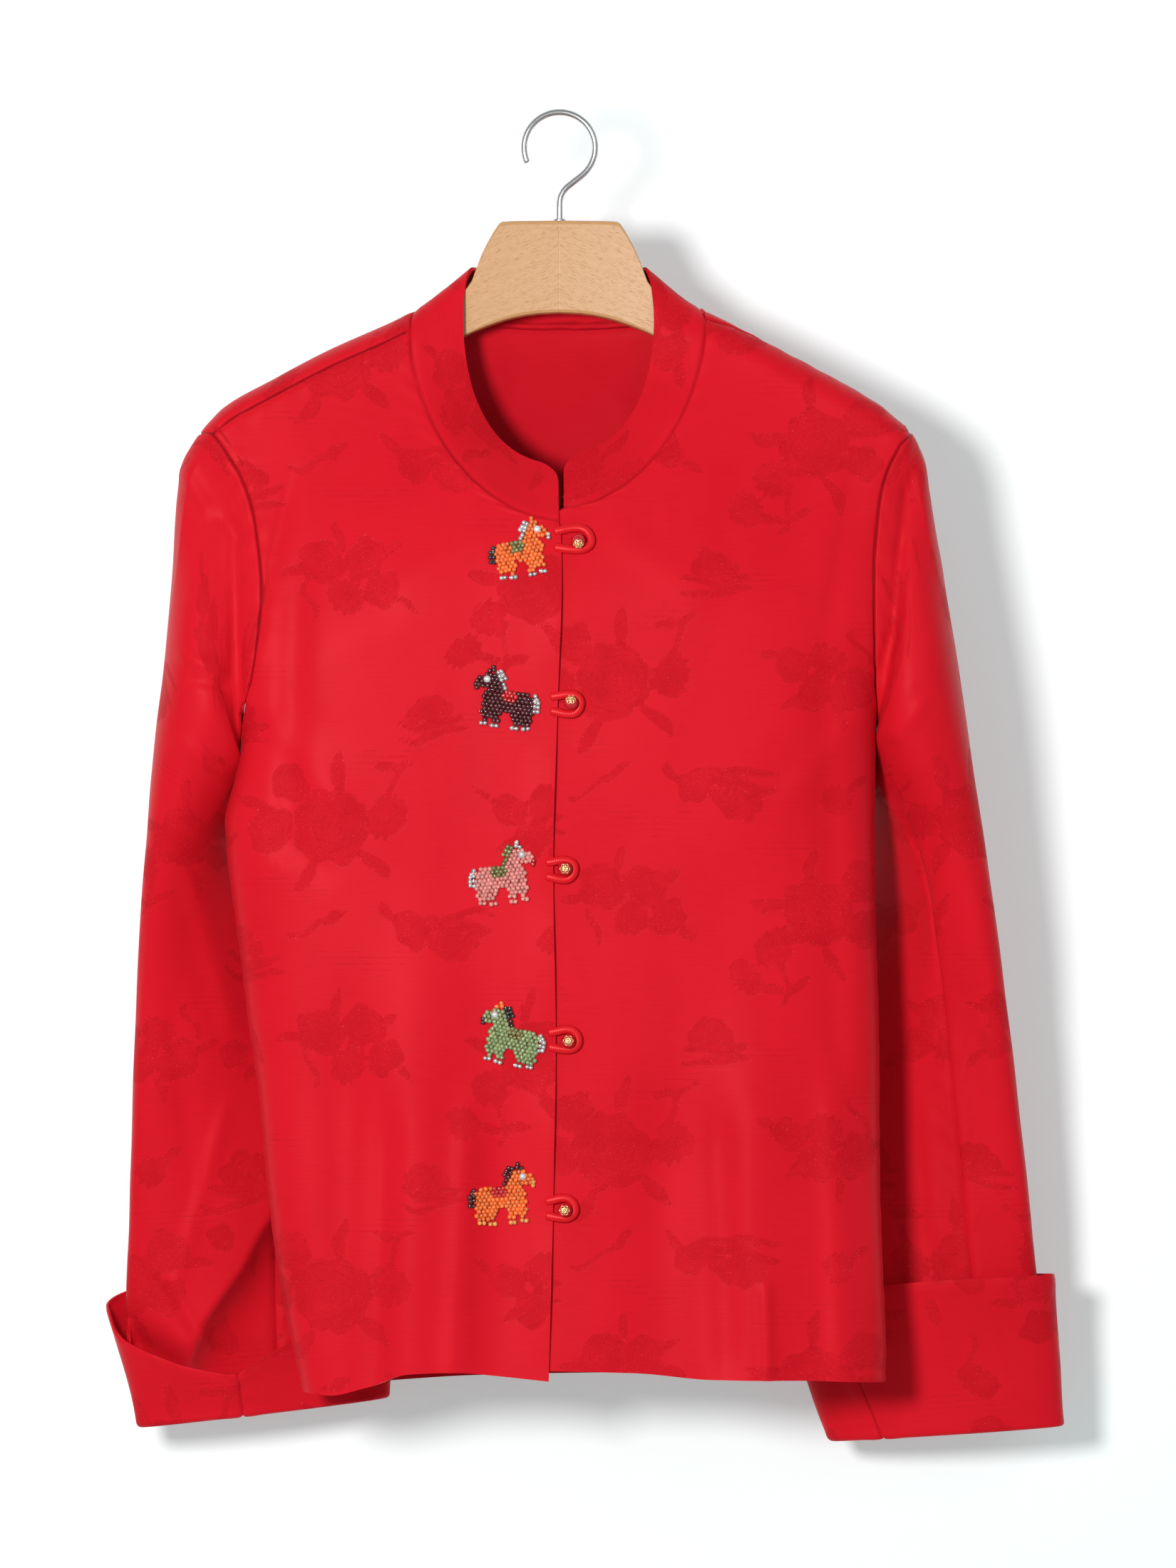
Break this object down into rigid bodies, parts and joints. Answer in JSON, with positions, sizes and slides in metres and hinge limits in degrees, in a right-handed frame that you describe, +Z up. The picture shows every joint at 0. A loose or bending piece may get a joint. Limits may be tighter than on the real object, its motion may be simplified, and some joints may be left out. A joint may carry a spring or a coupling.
{
  "type": "mandarin collar jacket on a hanger",
  "caption": "Red silk jacquard jacket with a stand collar, ball buttons in cord loops, small beaded figures and wide turned-back cuffs, hanging on a beech hanger.",
  "frame": {"origin": "inside of the crown of the hanger's hook, where a rail carries it", "axes": "+Z up, +X to the right of someone who looks at the front, -Y out of the front"},
  "size_m": [0.545, 0.1517, 0.7557],
  "materials": {
    "jacquard": "tone-on-tone figured silk satin",
    "cord": "satin bias cord",
    "red_ball": "glossy red",
    "gilt": "polished gilt",
    "beads": "glass seed beads on a padded ground",
    "beech": "lacquered beech",
    "steel": "bright wire"
  },
  "bodies": {
    "root": {"front_over": "jacquard", "front_under": "jacquard", "back": "jacquard", "collar": "jacquard", "sleeve_left": "jacquard", "sleeve_right": "jacquard", "cuff_left": "jacquard", "cuff_right": "jacquard", "loop_1": "cord", "ball_1": "red_ball", "cap_1": "gilt", "motif_1": "beads", "loop_2": "cord", "ball_2": "red_ball", "cap_2": "gilt", "motif_2": "beads", "loop_3": "cord", "ball_3": "red_ball", "cap_3": "gilt", "motif_3": "beads", "loop_4": "cord", "ball_4": "red_ball", "cap_4": "gilt", "motif_4": "beads", "loop_5": "cord", "ball_5": "red_ball", "cap_5": "gilt", "motif_5": "beads", "hanger": "beech", "hook": "steel"}
  },
  "joints": []
}
